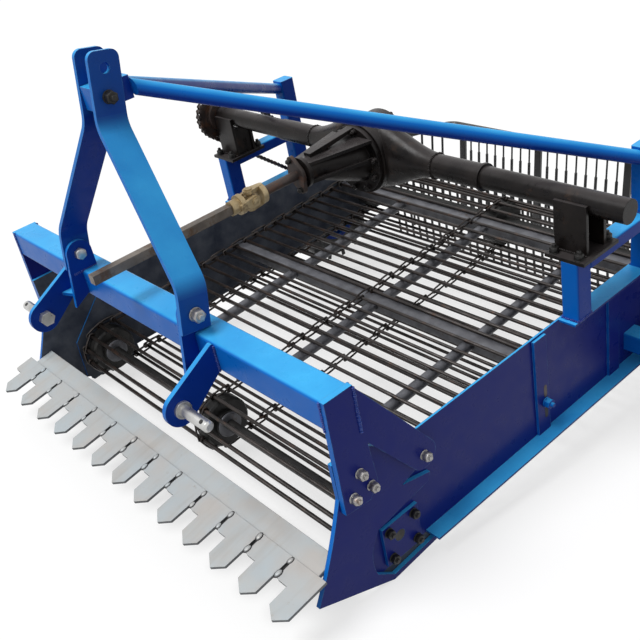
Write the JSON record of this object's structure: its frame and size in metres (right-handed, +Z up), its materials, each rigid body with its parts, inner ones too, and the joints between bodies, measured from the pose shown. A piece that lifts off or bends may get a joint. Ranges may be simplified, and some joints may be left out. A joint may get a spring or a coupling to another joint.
{
  "type": "potato digger",
  "caption": "Tractor-mounted potato digger: blue frame with a toothed digging blade, an endless rod web between side panels, an A-frame mast, an overhead drive axle and depth wheels.",
  "frame": {"origin": "middle of the machine's footprint box, on the ground", "axes": "+X is the machine's left side, -Y the way it travels, +Z up"},
  "size_m": [1.8926, 2.1771, 1.2316],
  "materials": {
    "blue_paint": "gloss royal-blue paint",
    "wheel_paint": "gloss blue paint",
    "black_paint": "black paint",
    "blade_steel": "bare ground steel",
    "rod_steel": "dark mill-scaled steel",
    "grey_steel": "bare rolled steel",
    "cast_axle": "dark cast iron",
    "yoke_steel": "yellow-passivated steel",
    "zinc_steel": "zinc-plated steel",
    "tyre_rubber": "black rubber"
  },
  "bodies": {
    "frame": {"axle_cover": "cast_axle", "axle_housing": "cast_axle", "axle_sprocket": "rod_steel", "blade": "blade_steel", "bridge_post_left": "blue_paint", "bridge_post_right": "blue_paint", "bridge_rail_left": "blue_paint", "bridge_rail_right": "blue_paint", "cross_members": "grey_steel", "drive_chain": "rod_steel", "end_bracket_left": "blue_paint", "end_bracket_right": "blue_paint", "fence_wing_left": "black_paint", "fence_wing_right": "black_paint", "front_beam": "blue_paint", "front_rollers": "rod_steel", "hitch_lug_left": "blue_paint", "hitch_lug_right": "blue_paint", "idler_plate_left": "blue_paint", "idler_plate_right": "blue_paint", "lower_pin_left": "zinc_steel", "lower_pin_right": "zinc_steel", "mast_bar_left": "blue_paint", "mast_bar_right": "blue_paint", "mast_lug_left": "blue_paint", "mast_lug_right": "blue_paint", "pinion_carrier": "cast_axle", "rear_comb": "black_paint", "rear_fence": "black_paint", "rear_shaft": "rod_steel", "rear_upright_left": "blue_paint", "rear_upright_right": "blue_paint", "rod_web": "rod_steel", "saddle_left": "cast_axle", "saddle_right": "cast_axle", "shaft_bearing_left": "cast_axle", "shaft_bearing_right": "cast_axle", "shovel_plate_left": "blue_paint", "shovel_plate_right": "blue_paint", "side_panel_left": "blue_paint", "side_panel_right": "blue_paint", "slide_tubes": "grey_steel", "stay_block": "blue_paint", "stay_left": "blue_paint", "stay_right": "blue_paint", "tines": "blade_steel", "web_sprocket": "rod_steel", "wheel_arm_left": "blue_paint", "wheel_arm_right": "blue_paint"},
    "wheel_left": {"tyre_left": "tyre_rubber", "wheel_rim_left": "wheel_paint"},
    "wheel_right": {"tyre_right": "tyre_rubber", "wheel_rim_right": "wheel_paint"},
    "drive_shaft": {"companion_flange": "cast_axle", "joint_cross": "yoke_steel", "pinion_yoke": "yoke_steel", "shaft_yoke": "yoke_steel", "square_shaft": "grey_steel"}
  },
  "joints": [
    {"name": "left_wheel_spin", "type": "hinge", "parent": "frame", "child": "wheel_left", "pos_m": [0.89, 0.51152, 0.2], "axis": [1, 0, 0], "continuous": true},
    {"name": "right_wheel_spin", "type": "hinge", "parent": "frame", "child": "wheel_right", "pos_m": [-0.89, 0.51152, 0.2], "axis": [1, 0, 0], "continuous": true},
    {"name": "drive_shaft_spin", "type": "hinge", "parent": "frame", "child": "drive_shaft", "pos_m": [0, -0.50795, 0.75393], "axis": [0, 0.9921, 0.1253], "continuous": true}
  ]
}
